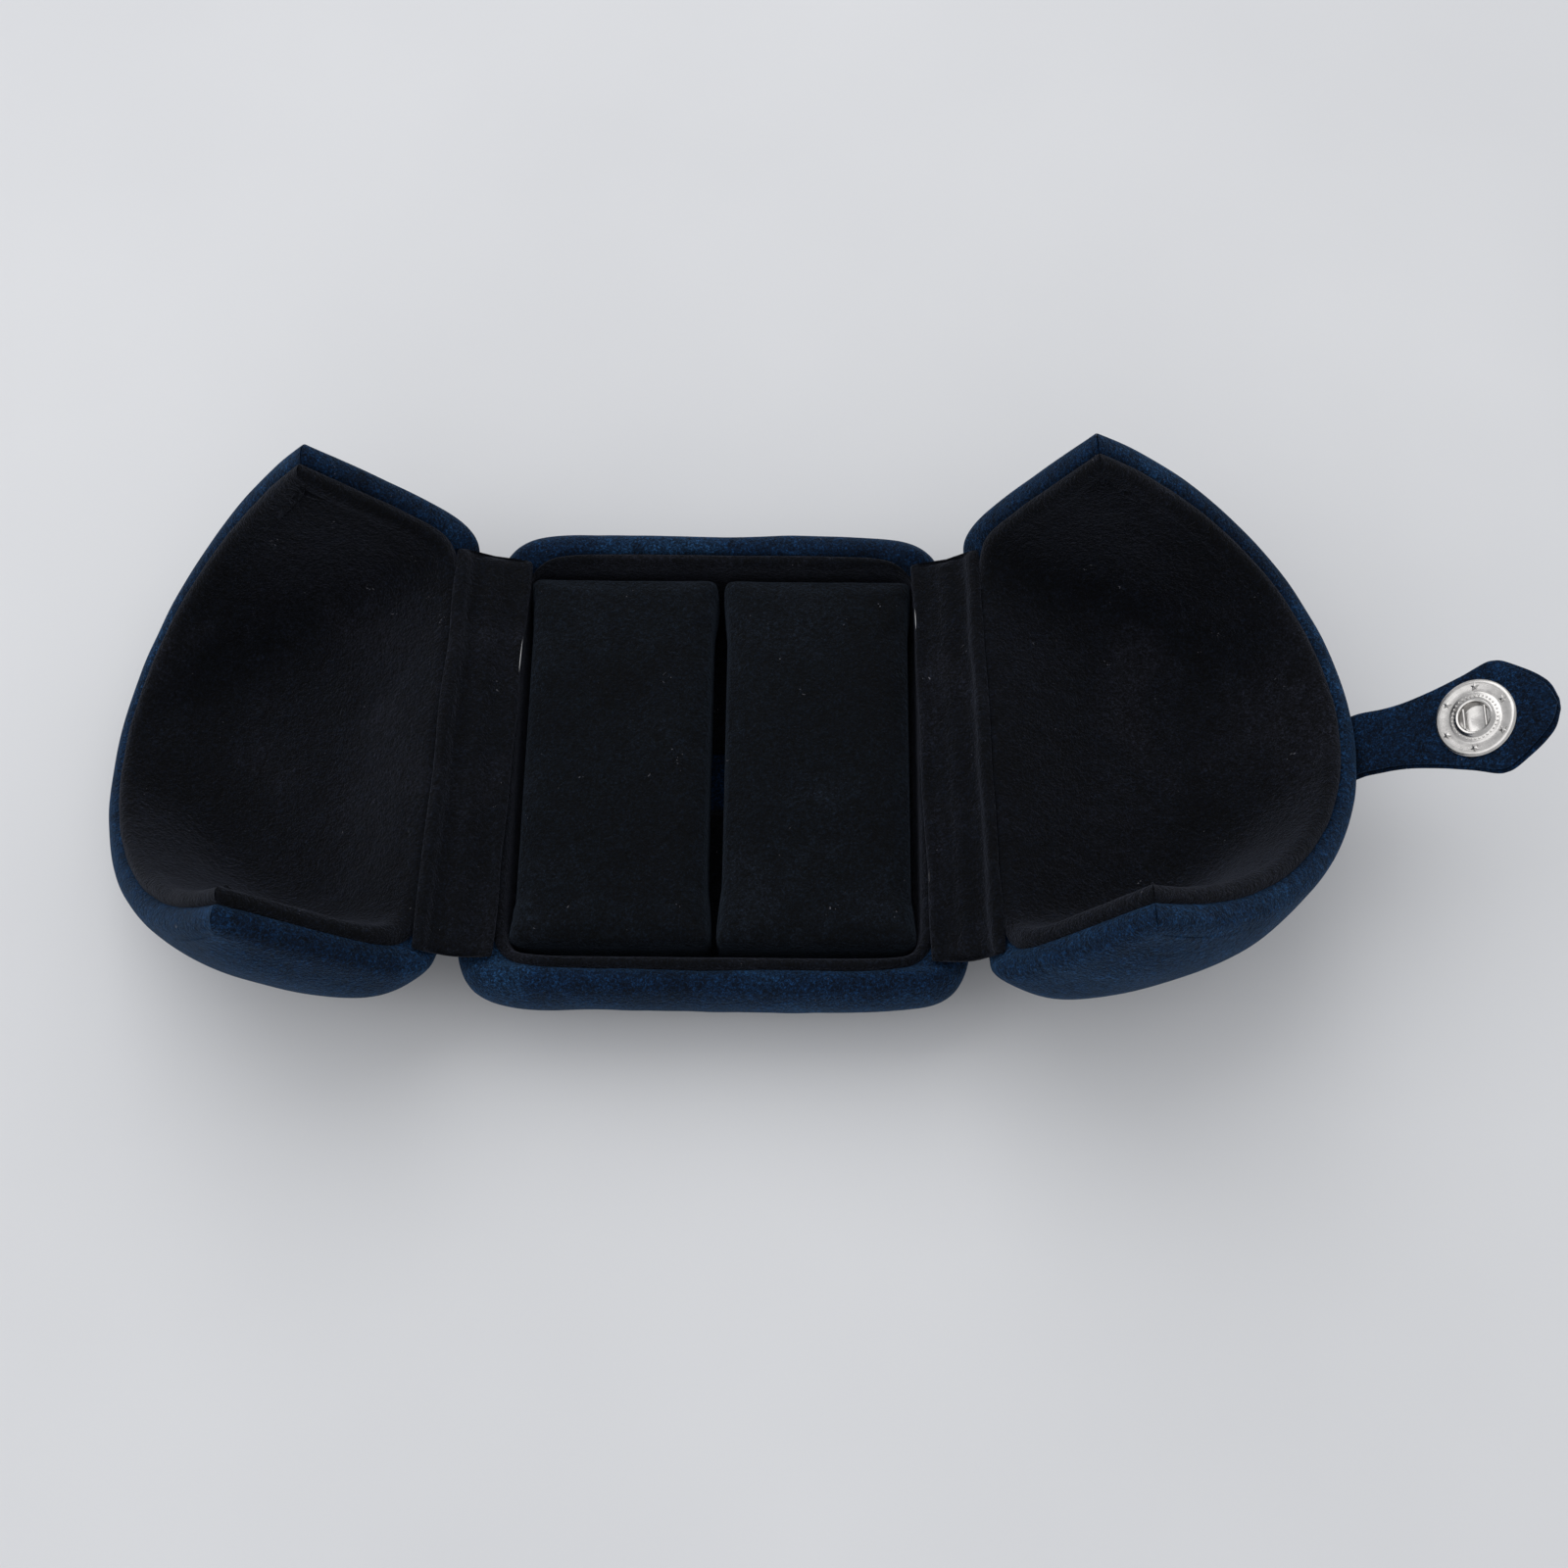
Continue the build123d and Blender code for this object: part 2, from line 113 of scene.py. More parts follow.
def soft_floor(value, floor, softness=1.0):
    """Rounded maximum of two values."""
    gap = value - floor
    return 0.5 * (value + floor + np.sqrt(gap * gap + softness * softness)) - 0.2 * softness


def rumple(points, size, seed):
    """Smooth noise from -1 to 1 at each point, with features of about `size` mm."""
    flat = points.reshape(-1, 3) / size + seed
    values = [noise.noise(Vector(point)) for point in flat]
    return np.array(values).reshape(points.shape[:-1])


def grid_normals(points, outward_from):
    """Unit normals of a grid of points, turned away from a centre."""
    down, across = np.gradient(points, axis=0), np.gradient(points, axis=1)
    normal = np.cross(down, across)
    length = np.linalg.norm(normal, axis=-1, keepdims=True)
    normal = normal / np.maximum(length, 1e-9)
    facing = ((points - np.array(outward_from)) * normal).sum(-1).mean()
    return normal if facing > 0 else -normal


def grid_faces(rows, columns, close_rows=False, close_columns=False):
    faces = []
    for row in range(rows if close_rows else rows - 1):
        for column in range(columns if close_columns else columns - 1):
            below, beside = (row + 1) % rows, (column + 1) % columns
            faces.append((row * columns + column, row * columns + beside,
                          below * columns + beside, below * columns + column))
    return faces


def tidy(data, soften=0):
    """Weld coincident points, drop empty faces, even out the surface and turn it outwards."""
    mesh = bmesh.new()
    mesh.from_mesh(data)
    bmesh.ops.remove_doubles(mesh, verts=mesh.verts, dist=2e-6)
    bmesh.ops.dissolve_degenerate(mesh, edges=mesh.edges, dist=1e-6)
    for _ in range(soften):
        bmesh.ops.smooth_vert(mesh, verts=mesh.verts, factor=0.5, use_axis_x=True,
                              use_axis_y=True, use_axis_z=True)
    bmesh.ops.recalc_face_normals(mesh, faces=mesh.faces)
    mesh.to_mesh(data)
    mesh.free()


def make_piece(name, points, faces, material, soften=0, subdivisions=1):
    """Mesh object from points in millimetres."""
    data = bpy.data.meshes.new(name)
    data.from_pydata((np.asarray(points).reshape(-1, 3) * MM).tolist(), [], faces)
    tidy(data, soften)
    data.polygons.foreach_set("use_smooth", [True] * len(data.polygons))
    data.materials.append(material)
    piece = bpy.data.objects.new(name, data)
    bpy.context.scene.collection.objects.link(piece)
    if subdivisions:
        subsurf = piece.modifiers.new("subdivision", "SUBSURF")
        subsurf.levels = subsurf.render_levels = subdivisions
    return piece


def open_out(points, side):
    """Take points of the shut right-hand half to where that side's lid stands at rest."""
    joint = JOINTS[f"{side}_lid_hinge"]
    if side == "left":
        points = points * np.array((-1, 1, 1))
    turn = Matrix.Rotation(-radians(joint["range_deg"][1]), 3, Vector(joint["axis"]))
    pivot = np.array(joint["pos_m"]) / MM
    return (points - pivot) @ np.array(turn).T + pivot


# --- materials --------------------------------------------------------------------------
class Nodes:
    """Short way to build one material's node tree."""

    def __init__(self, name):
        self.material = bpy.data.materials.new(name)
        self.material.use_nodes = True
        self.tree = self.material.node_tree
        self.shader = self.tree.nodes["Principled BSDF"]
        place = self.tree.nodes.new("ShaderNodeTexCoord")
        self.place = place.outputs["Object"]

    def noise(self, scale, detail=2.0, roughness=0.5, distortion=0.0):
        node = self.tree.nodes.new("ShaderNodeTexNoise")
        node.inputs["Scale"].default_value = scale
        node.inputs["Detail"].default_value = detail
        node.inputs["Roughness"].default_value = roughness
        node.inputs["Distortion"].default_value = distortion
        self.tree.links.new(self.place, node.inputs["Vector"])
        return node.outputs["Fac"]

    def ramp(self, value, stops):
        node = self.tree.nodes.new("ShaderNodeValToRGB")
        ramp = node.color_ramp
        while len(ramp.elements) < len(stops):
            ramp.elements.new(0.5)
        for element, (position, colour) in zip(ramp.elements, stops):
            element.position = position
            element.color = (*colour, 1)
        self.tree.links.new(value, node.inputs["Fac"])
        return node.outputs["Color"]

    def mix(self, share, first, second, mode="MIX"):
        node = self.tree.nodes.new("ShaderNodeMix")
        node.data_type = "RGBA"
        node.blend_type = mode
        for value, socket in ((share, node.inputs[0]), (first, node.inputs[6]),
                              (second, node.inputs[7])):
            if isinstance(value, (int, float)):
                socket.default_value = value
            elif isinstance(value, tuple):
                socket.default_value = (*value, 1)
            else:
                self.tree.links.new(value, socket)
        return node.outputs[2]

    def span(self, value, low, high):
        """Map 0..1 onto low..high."""
        node = self.tree.nodes.new("ShaderNodeMapRange")
        node.inputs["To Min"].default_value = low
        node.inputs["To Max"].default_value = high
        self.tree.links.new(value, node.inputs["Value"])
        return node.outputs["Result"]

    def bump(self, heights):
        """Chain of bumps: (value, strength, distance in metres)."""
        last = None
        for value, strength, distance in heights:
            node = self.tree.nodes.new("ShaderNodeBump")
            node.inputs["Strength"].default_value = strength
            node.inputs["Distance"].default_value = distance
            self.tree.links.new(value, node.inputs["Height"])
            if last is not None:
                self.tree.links.new(last, node.inputs["Normal"])
            last = node.outputs["Normal"]
        self.tree.links.new(last, self.shader.inputs["Normal"])

    def feed(self, socket, value):
        target = self.shader.inputs[socket]
        if isinstance(value, bpy.types.NodeSocket):
            self.tree.links.new(value, target)
        else:
            target.default_value = value


def velvet(name, deep, plain, brushed, sheen, tint, lint=(0.13, 0.13, 0.15)):
    """Cut-pile velvet: brushed patches, fine pile grain, a few specks of lint and a sheen."""
    nodes = Nodes(name)
    patches = nodes.noise(55, 3, 0.55, 0.6)
    streaks = nodes.noise(420, 3, 0.6, 1.2)
    pile = nodes.noise(2700, 2, 0.75, 0.8)
    tufts = nodes.noise(1500, 3, 0.65)
    colour = nodes.ramp(patches, [(0.30, deep), (0.52, plain), (0.74, brushed)])
    grain = nodes.ramp(streaks, [(0.34, (0.50, 0.50, 0.50)), (0.66, (1.6, 1.6, 1.6))])
    colour = nodes.mix(0.75, colour, grain, "MULTIPLY")
    fine = nodes.ramp(pile, [(0.40, (0.25, 0.25, 0.25)), (0.54, (1.0, 1.0, 1.0)),
                             (0.68, (3.4, 3.4, 3.4))])
    colour = nodes.mix(0.9, colour, fine, "MULTIPLY")
    specks = nodes.ramp(nodes.noise(1150, 0, 0.5, 2.5), [(0.885, (0, 0, 0)), (0.91, (1, 1, 1))])
    colour = nodes.mix(specks, colour, lint)
    nodes.feed("Base Color", colour)
    nodes.feed("Roughness", nodes.span(tufts, 0.78, 1.0))
    nodes.feed("Specular IOR Level", 0.12)
    nodes.feed("Sheen Weight", sheen)
    nodes.feed("Sheen Roughness", 0.38)
    nodes.feed("Sheen Tint", (*tint, 1))
    nodes.bump([(tufts, 0.7, 0.0005), (pile, 0.8, 0.0003), (streaks, 0.35, 0.0006)])
    return nodes.material


def metal(name, colour, roughness, scratch):
    """Plated metal with faint handling marks and dull spots."""
    nodes = Nodes(name)
    dull = nodes.noise(900, 4, 0.6)
    marks = nodes.noise(4000, 2, 0.6, 3.0)
    shade = nodes.ramp(dull, [(0.35, tuple(c * 0.86 for c in colour)), (0.6, colour)])
    nodes.feed("Base Color", shade)
    nodes.feed("Metallic", 1.0)
    nodes.feed("Roughness", nodes.span(dull, roughness, roughness + 0.14))
    nodes.bump([(marks, scratch, 0.00002)])
    return nodes.material


def stock(name, dark, light, roughness, grain, depth):
    """Moulded plastic, card or wadding, which mostly lies hidden inside the walls."""
    nodes = Nodes(name)
    mottle = nodes.noise(grain, 4, 0.6)
    nodes.feed("Base Color", nodes.ramp(mottle, [(0.3, dark), (0.7, light)]))
    nodes.feed("Roughness", nodes.span(mottle, roughness - 0.1, roughness))
    nodes.bump([(mottle, 0.4, depth)])
    return nodes.material


NAVY = velvet("navy_velvet", (0.0010, 0.0062, 0.0190), (0.0020, 0.0112, 0.0330),
              (0.0062, 0.0240, 0.0590), 0.26, (0.14, 0.32, 0.60))
LINING = velvet("black_lining_velvet", (0.0007, 0.0012, 0.0024), (0.0016, 0.0024, 0.0046),
                (0.0046, 0.0052, 0.0082), 0.17, (0.34, 0.38, 0.52))
CUSHION = velvet("black_cushion_velvet", (0.0006, 0.0012, 0.0026), (0.0014, 0.0026, 0.0048),
                 (0.0034, 0.0050, 0.0082), 0.14, (0.26, 0.36, 0.52))
NICKEL = metal("nickel_plate", (0.58, 0.565, 0.55), 0.15, 0.3)
WIRE = metal("spring_wire", (0.62, 0.60, 0.58), 0.22, 0.2)
STEEL = metal("hinge_steel", (0.50, 0.50, 0.51), 0.34, 0.5)
PLASTIC = stock("shell_plastic", (0.018, 0.018, 0.020), (0.030, 0.030, 0.032), 0.55, 2200, 0.00005)
CARD = stock("stiffener_card", (0.28, 0.25, 0.20), (0.36, 0.32, 0.26), 0.9, 3000, 0.00006)
WADDING = stock("white_wadding", (0.62, 0.62, 0.60), (0.78, 0.78, 0.76), 0.95, 1800, 0.0004)


# --- lids -------------------------------------------------------------------------------
def dome(fan, run, inset):
    """Point of a lid's dome: fan turns about y from the tray's seam (0) to the lids' seam
    (pi / 2), and run goes from the front peak (0) to the back peak (1)."""
    across = np.sin(pi * run) * np.cos(fan)
    along = -np.cos(pi * run)
    up = np.sin(pi * run) * np.sin(fan)
    height = np.arctan2(up, np.hypot(across, along)) / (pi / 2)
    power = PLAN_POWER[0] + (PLAN_POWER[1] - PLAN_POWER[0]) * height
    plan = (np.abs(across) ** power + np.abs(along) ** power) ** (1 / power)
    reach = 1 / np.sqrt(plan * plan + up * up)
    x = across * reach * (WALL_X - inset)
    y = along * reach * (HALF_DEPTH - inset)
    z = up * reach * (LID_RISE - inset)
    level = np.clip(up * reach, 0, 1)
    bow = 2 * FRONT_BOW * level * np.sqrt(1 - level ** 2)
    middle = np.clip(1 - (2 * x / WALL_X - 1) ** 2, 0, 1)
    y = y + np.sign(along) * bow * middle * smooth_step(np.abs(along) * reach, 0.5, 1)
    x = x * (1 - TOE * y / WALL_X)
    return np.stack((x, y, HINGE_Z + z), axis=-1)


def hinge_recess(points):
    """How far the rim stays back along the hinge, where the gusset lies."""
    side = smooth_step(points[..., 0], HINGE_X - 9.5, HINGE_X - 6.0)
    past_end = smooth_step(np.abs(points[..., 1]), GUSSET_HALF_Y, GUSSET_HALF_Y + GUSSET_RECESS_EDGE)
    return side * (1 - past_end)


def lid_skin(rim, face_inset, face_lift, fans, recess):
    """Rows of a lid's skin: over the lids' rim, across the face, over the tray's rim."""
    run = np.linspace(0, 1, COLUMNS)
    rows = [(pi / 2, inset, lift) for inset, lift in rim]
    rows += [(fan, face_inset, face_lift) for fan in fans]
    rows += [(0.0, inset, lift) for inset, lift in reversed(rim)]
    grid = []
    for fan, inset, lift in rows:
        points = dome(fan, run, inset)
        floor = SEAM + lift
        points[:, 0] = soft_floor(points[:, 0], floor, EDGE_SOFTNESS)
        shelf = HINGE_Z + floor + recess * hinge_recess(points)
        points[:, 2] = soft_floor(points[:, 2], shelf, EDGE_SOFTNESS)
        grid.append(points)
    return np.array(grid)


def rim_distance(points):
    """Distances from the lids' seam and from the tray's seam."""
    return points[..., 0] - SEAM, points[..., 2] - HINGE_Z - SEAM


def puff_out(grid, amount, reach, centre):
    """Swell a skin away from the centre, less and less towards its rims."""
    to_lid, to_tray = rim_distance(grid)
    share = (1 - np.exp(-(to_lid / reach) ** 2)) * (1 - np.exp(-(to_tray / reach) ** 2))
    return grid + grid_normals(grid, centre) * (share * amount)[..., None]


def two_sided(grid, thickness, centre):
    """Closed loop of rows: the skin and its hidden back."""
    back = grid - grid_normals(grid, centre) * thickness
    return np.concatenate((grid, back[::-1]))


COVER_RIM = [(4.1, 2.2), (3.9, 1.2), (3.6, 0.55), (3.0, 0.15), (2.2, 0.0), (1.4, 0.08),
             (0.8, 0.35), (0.35, 0.85), (0.1, 1.5)]
LINING_RIM = [(3.5, 2.2), (3.6, 1.1), (4.0, 0.35), (4.6, 0.02), (5.3, 0.06), (5.9, 0.5),
              (6.2, 1.2), (6.25, 2.0)]
LID_CENTRE = (WALL_X / 3, 0, HINGE_Z + LID_RISE / 3)
STUD_PLACE = np.array((14.24, -0.76, 62.6))      # on the shut left lid, as the right one
ROOT_PLACE = np.array((5.1, -2.0, 63.5))         # middle of the strap's sewn end
STUD_FLAT, ROOT_FLAT = 6.4, 3.8                  # radius that stays flat round each of them
LINING_THICK = 0.8


def flat_spot(grid, place, inner, outer):
    """0 close to a place and 1 away from it."""
    return smooth_step(np.linalg.norm(grid - place, axis=-1), inner, outer)


def lid_cover(side):
    fans = np.radians(np.linspace(86.5, 3.5, 36))
    grid = lid_skin(COVER_RIM, 0.0, 2.2, fans, HINGE_RECESS)
    place, level = (STUD_PLACE, STUD_FLAT) if side == "left" else (ROOT_PLACE, ROOT_FLAT)
    amount = PUFF * flat_spot(grid, place, level, 13.5)
    amount = amount * (1 + 0.18 * rumple(grid, 24, 3.0 if side == "left" else 9.0))
    grid = puff_out(grid, amount, PUFF_REACH, LID_CENTRE)
    normals = grid_normals(grid, LID_CENTRE)
    calm = flat_spot(grid, place, level, 9.5)
    grid = grid + normals * (0.16 * rumple(grid, 7, 5.0) * calm)[..., None]
    grid = two_sided(grid, COVER_THICK, LID_CENTRE)
    points = open_out(grid, side)
    points[..., 2] = soft_floor(points[..., 2], 0.1, 0.3)
    faces = grid_faces(*grid.shape[:2], close_rows=True)
    piece = make_piece(f"{side}_lid_velvet", points, faces, NAVY, soften=3)
    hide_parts(f"{side}_lid_cover", f"{side}_lid_shell")
    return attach(piece, f"{side}_lid")


def lid_lining(side):
    fans = np.radians(np.linspace(85, 5, 34))
    grid = lid_skin(LINING_RIM, LINING_INSET, 2.8, fans, HINGE_RECESS * 0.8)
    amount = -LINING_PUFF * (1 + 0.5 * rumple(grid, 15, 1.0 if side == "left" else 6.0))
    grid = puff_out(grid, amount, 5.0, LID_CENTRE)
    normals = grid_normals(grid, LID_CENTRE)
    grid = grid + normals * (0.14 * rumple(grid, 4.5, 2.0))[..., None]
    grid = two_sided(grid, -LINING_THICK, LID_CENTRE)
    faces = grid_faces(*grid.shape[:2], close_rows=True)
    piece = make_piece(f"{side}_lid_lining_velvet", open_out(grid, side), faces, LINING, soften=2)
    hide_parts(f"{side}_lid_lining", f"{side}_lid_padding")
    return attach(piece, f"{side}_lid")


# --- tray -------------------------------------------------------------------------------
TRAY_COLUMNS = 240
TURN = np.linspace(0, 2 * pi, TRAY_COLUMNS, endpoint=False)
TRAY_EDGE = 8.0                                 # round of the tray's lower edge
TRAY_POWER, WELL_POWER = 9.0, 16.0              # how square the tray and the cushions' well are
WELL_GROW = 0.35                                # room round the cushions
TRAY_FLOOR = 4.2                                # height of the floor's upper side


def tray_ring(inset, height, power=TRAY_POWER):
    """Loop round the tray, inset from its outer faces."""
    across, along = np.cos(TURN), np.sin(TURN)
    reach = 1 / (np.abs(across) ** power + np.abs(along) ** power) ** (1 / power)
    y = along * reach * (HALF_DEPTH - inset)
    x = across * reach * (WALL_X - inset) * (1 - TOE * y / WALL_X)
    return np.stack((x, y, np.full_like(x, height)), axis=-1)


def well_ring(height, grow=WELL_GROW):
    """Loop round the cushions."""
    across, along = np.cos(TURN), np.sin(TURN)
    reach = 1 / (np.abs(across) ** WELL_POWER + np.abs(along) ** WELL_POWER) ** (1 / WELL_POWER)
    return np.stack((across * reach * (PAD_HIGH.x + grow), along * reach * (PAD_HIGH.y + grow),
                     np.full_like(across, height)), axis=-1)


def sink_at_hinges(grid, depth, above):
    """Lower a tray skin under both gussets."""
    mirrored = grid.copy()
    mirrored[..., 0] = np.abs(mirrored[..., 0])
    share = hinge_recess(mirrored) * smooth_step(grid[..., 2], above - 3, above)
    grid[..., 2] -= share * depth
    return grid


def ring_faces(rows):
    """Quads between stacked rings, and a face that closes each end."""
    faces = grid_faces(rows, TRAY_COLUMNS, close_columns=True)
    faces.append(tuple(range(TRAY_COLUMNS)))
    faces.append(tuple(reversed(range((rows - 1) * TRAY_COLUMNS, rows * TRAY_COLUMNS))))
    return faces


def tray_cover():
    profile = [(30, 0.0), (20, 0.0), (12, 0.0), (9.2, 0.0)]
    profile += [(TRAY_EDGE - TRAY_EDGE * sin(a), TRAY_EDGE - TRAY_EDGE * cos(a))
                for a in np.radians(range(8, 82, 8))]
    profile += [(-0.35, 8.2), (-0.8, 10.2), (-0.9, 12.0), (-0.7, 13.8), (-0.25, 15.2), (0.25, 16.2),
                (0.8, 16.95), (1.5, 17.35), (2.3, 17.5), (3.0, 17.35), (3.6, 16.9), (3.9, 16.2),
                (4.0, 15.0), (4.0, 12.0), (4.0, 6.0)]
    grid = np.array([tray_ring(inset, height) for inset, height in profile])
    wall = smooth_step(grid[..., 2], 2, 7)
    normals = grid_normals(grid, (0, 0, 8))
    waves = 0.30 * rumple(grid, 14, 7.0) + 0.12 * rumple(grid, 5, 2.0)
    grid = grid + normals * (wall * waves)[..., None]
    grid = sink_at_hinges(grid, HINGE_RECESS, RIM_Z - 1)
    grid[..., 2] = np.maximum(grid[..., 2], 0)
    floor = np.array([tray_ring(inset, TRAY_FLOOR) for inset in (6, 20, 30)])
    grid = np.concatenate((grid, floor))
    piece = make_piece("tray_velvet", grid, ring_faces(len(grid)), NAVY)
    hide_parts("base_cover", "base_shell")
    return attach(piece, "base")


def tray_lining():
    """Rolled velvet edge round the cushions, and the floor under them."""
    shares = [(0.0, 15.2), (0.04, 16.5), (0.18, 17.25), (0.42, 17.5), (0.68, 17.35), (0.88, 16.7),
              (1.0, 15.6), (1.0, 12.0), (1.0, 6.0)]
    outer, inner = tray_ring(3.7, 0), well_ring(0)
    grid = []
    for share, height in shares:
        ring = outer * (1 - share) + inner * share
        ring[:, 2] = height
        grid.append(ring)
    grid += [well_ring(4.7, -1.0), well_ring(4.7, -15), well_ring(4.7, -26)]
    grid += [well_ring(4.3, -26), well_ring(4.3, -5), tray_ring(4.2, 5.0), tray_ring(3.9, 10.0)]
    grid = np.array(grid)
    wave = smooth_step(grid[..., 2], 15, 17)
    grid[..., 2] += wave * (0.16 * rumple(grid, 8, 4.0) + 0.1 * rumple(grid, 3, 8.0))
    grid = sink_at_hinges(grid, HINGE_RECESS, RIM_Z - 1)
    faces = grid_faces(*grid.shape[:2], close_rows=True, close_columns=True)
    piece = make_piece("tray_lining_velvet", grid, faces, LINING)
    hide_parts("base_lining")
    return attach(piece, "base")


# --- ring cushions ----------------------------------------------------------------------
SIM_SCALE = 10             # the cloth is solved on a larger copy, where its solver behaves
SIM_VOXEL = 0.9            # mm
SIM_FRAMES = 18
SIM_PRESSURE = 4.0
SWELL_MOST = 0.9           # farthest that the velvet swells, mm
CUSHION_EDGE = 1.3         # round of the foam's edges
CUSHION_GAP = 0.2          # half the gap between the two bars of foam


def block_mesh(low, high, bevel):
    """Box with rounded edges, in millimetres."""
    mesh = bmesh.new()
    bmesh.ops.create_cube(mesh, size=1)
    size, middle = high - low, (high + low) / 2
    for vert in mesh.verts:
        vert.co = Vector(vert.co[i] * size[i] + middle[i] for i in range(3))
    bmesh.ops.bevel(mesh, geom=mesh.edges, offset=bevel, segments=4, profile=0.5, affect="EDGES")
    data = bpy.data.meshes.new("block")
    mesh.to_mesh(data)
    mesh.free()
    return data


def evaluated_mesh(piece):
    bpy.context.view_layer.update()
    graph = bpy.context.evaluated_depsgraph_get()
    return bpy.data.meshes.new_from_object(piece.evaluated_get(graph))


def vertex_array(data):
    points = np.empty(len(data.vertices) * 3)
    data.vertices.foreach_get("co", points)
    return points.reshape(-1, 3)


def swell(data, most):
    """Blow a closed mesh (mm) up as cloth and return it, each point moved at most `most`."""
    scale = MM * SIM_SCALE
    data.transform(Matrix.Scale(scale, 4))
    copy = bpy.data.objects.new("swelling", data)
    bpy.context.scene.collection.objects.link(copy)
    remesh = copy.modifiers.new("remesh", "REMESH")
    remesh.mode = "VOXEL"
    remesh.voxel_size = SIM_VOXEL * scale
    copy.data = evaluated_mesh(copy)
    copy.modifiers.clear()
    start = vertex_array(copy.data)
    cloth = copy.modifiers.new("cloth", "CLOTH")
    cloth.settings.quality = 6
    cloth.settings.use_pressure = True
    cloth.settings.uniform_pressure_force = SIM_PRESSURE
    cloth.settings.effector_weights.gravity = 0
    cloth.point_cache.frame_end = SIM_FRAMES
    for step in range(1, SIM_FRAMES + 1):
        bpy.context.scene.frame_set(step)
    moved = vertex_array(evaluated_mesh(copy)) - start
    copy.modifiers.clear()
    bpy.context.scene.frame_set(1)
    length = np.linalg.norm(moved, axis=1, keepdims=True)
    moved = moved * np.minimum(1, most * scale / np.maximum(length, 1e-9))
    start = start + moved
    result = copy.data
    bpy.data.objects.remove(copy)
    return start / scale, [tuple(face.vertices) for face in result.polygons]


def ring_cushion(side):
    """Foam bar in velvet. Its inner edge swells over the ring slot until it nearly closes."""
    low = Vector((CUSHION_GAP, PAD_LOW.y + 0.35, PAD_LOW.z + 0.2))
    high = Vector((PAD_HIGH.x - 0.1, PAD_HIGH.y - 0.35, PAD_HIGH.z - 0.6))
    points, faces = swell(block_mesh(low, high, CUSHION_EDGE), SWELL_MOST)
    top = smooth_step(points[:, 2], PAD_HIGH.z - 3, PAD_HIGH.z - 1)
    points[:, 2] += top * (0.22 * rumple(points, 17, 3.0 if side == "left" else 8.0)
                           + 0.05 * rumple(points, 3, 5.0))
    points[:, 0] = np.maximum(points[:, 0], 0.05)
    points[:, 2] = np.minimum(points[:, 2], RIM_Z + 0.05)
    if side == "left":
        points[:, 0] *= -1
    piece = make_piece(f"ring_cushion_{side}_velvet", points, faces, CUSHION)
    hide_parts(f"ring_cushion_{side}")
    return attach(piece, "base")


# --- gussets ----------------------------------------------------------------------------
GUSSET_TOP = [(-5.3, -1.1), (-5.15, -0.4), (-4.6, 0.0), (-3.9, -0.32), (-3.2, -0.25), (-2.4, 0.20),
              (-1.75, 0.35), (-1.25, 0.95), (-0.7, 1.40), (0.0, 1.55), (0.7, 1.40), (1.25, 0.95),
              (1.75, 0.25), (2.6, -0.2), (3.4, -0.42), (4.2, -0.05), (4.9, 0.18), (5.5, 0.0),
              (5.9, -0.55), (6.0, -1.2)]
GUSSET_BACK = [(5.6, -1.45), (4.0, -1.45), (2.4, -1.45), (1.2, -1.25), (0.0, -1.10),
               (-1.2, -1.25), (-2.4, -1.45), (-4.0, -1.45), (-5.0, -1.45)]

BLEND_REACH = 1.9          # either side of the hinge; it only sets an end point that nothing reads


def gusset(side):
    """Velvet strip over a hinge, in lengthwise folds, drawn on the lid laid out flat."""
    loop = np.array(GUSSET_TOP + GUSSET_BACK)
    stations = np.linspace(-GUSSET_HALF_Y, GUSSET_HALF_Y, 100)
    seed = 2.0 if side == "left" else 11.0
    grid = []
    for y in stations:
        end = np.clip((GUSSET_HALF_Y - abs(y)) / 1.2, 0, 1) ** 0.5
        sway = np.array([0.30 * noise.noise(Vector((s * 0.15, y / 11, seed))) for s, _ in loop])
        lump = np.array([0.26 * noise.noise(Vector((s * 0.4, y / 6, seed + 5))) for s, _ in loop])
        across = loop[:, 0] + sway * smooth_step(np.abs(loop[:, 0]), 1.4, 3.0)
        lump = lump * smooth_step(np.abs(loop[:, 0]), 1.4, 3.0)
        height = -0.9 + (loop[:, 1] + lump + 0.9) * (0.25 + 0.75 * end)
        x = HINGE_X - TOE * y + across
        grid.append(np.stack((x, np.full_like(x, y), HINGE_Z - SEAM + height), axis=-1))
    grid = np.array(grid)
    share = smooth_step(grid[..., 0] - HINGE_X + TOE * grid[..., 1], -1.7, 1.7)
    joint = JOINTS["right_lid_hinge"]
    lift = radians(180 - JOINTS[f"{side}_lid_hinge"]["range_deg"][1])
    pivot, points = np.array(joint["pos_m"]) / MM, grid.reshape(-1, 3)
    turned = [Matrix.Rotation(lift * turn, 3, Vector(joint["axis"])) @ Vector(point - pivot)
              for point, turn in zip(points, share.reshape(-1))]
    points = np.array(turned) + pivot
    if side == "left":
        points[:, 0] *= -1
    count = len(loop)
    faces = grid_faces(len(stations), count, close_columns=True)
    faces += [tuple(range(count)), tuple(reversed(range(len(points) - count, len(points))))]
    piece = make_piece(f"{side}_hinge_gusset", points, faces, LINING)
    sign = -1 if side == "left" else 1
    end = (sign * (HINGE_X + BLEND_REACH * cos(lift)) * MM, 0, (HINGE_Z + BLEND_REACH * sin(lift)) * MM)
    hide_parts(f"{side}_gusset_base_half", f"{side}_gusset_lid_half")
    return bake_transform(piece)


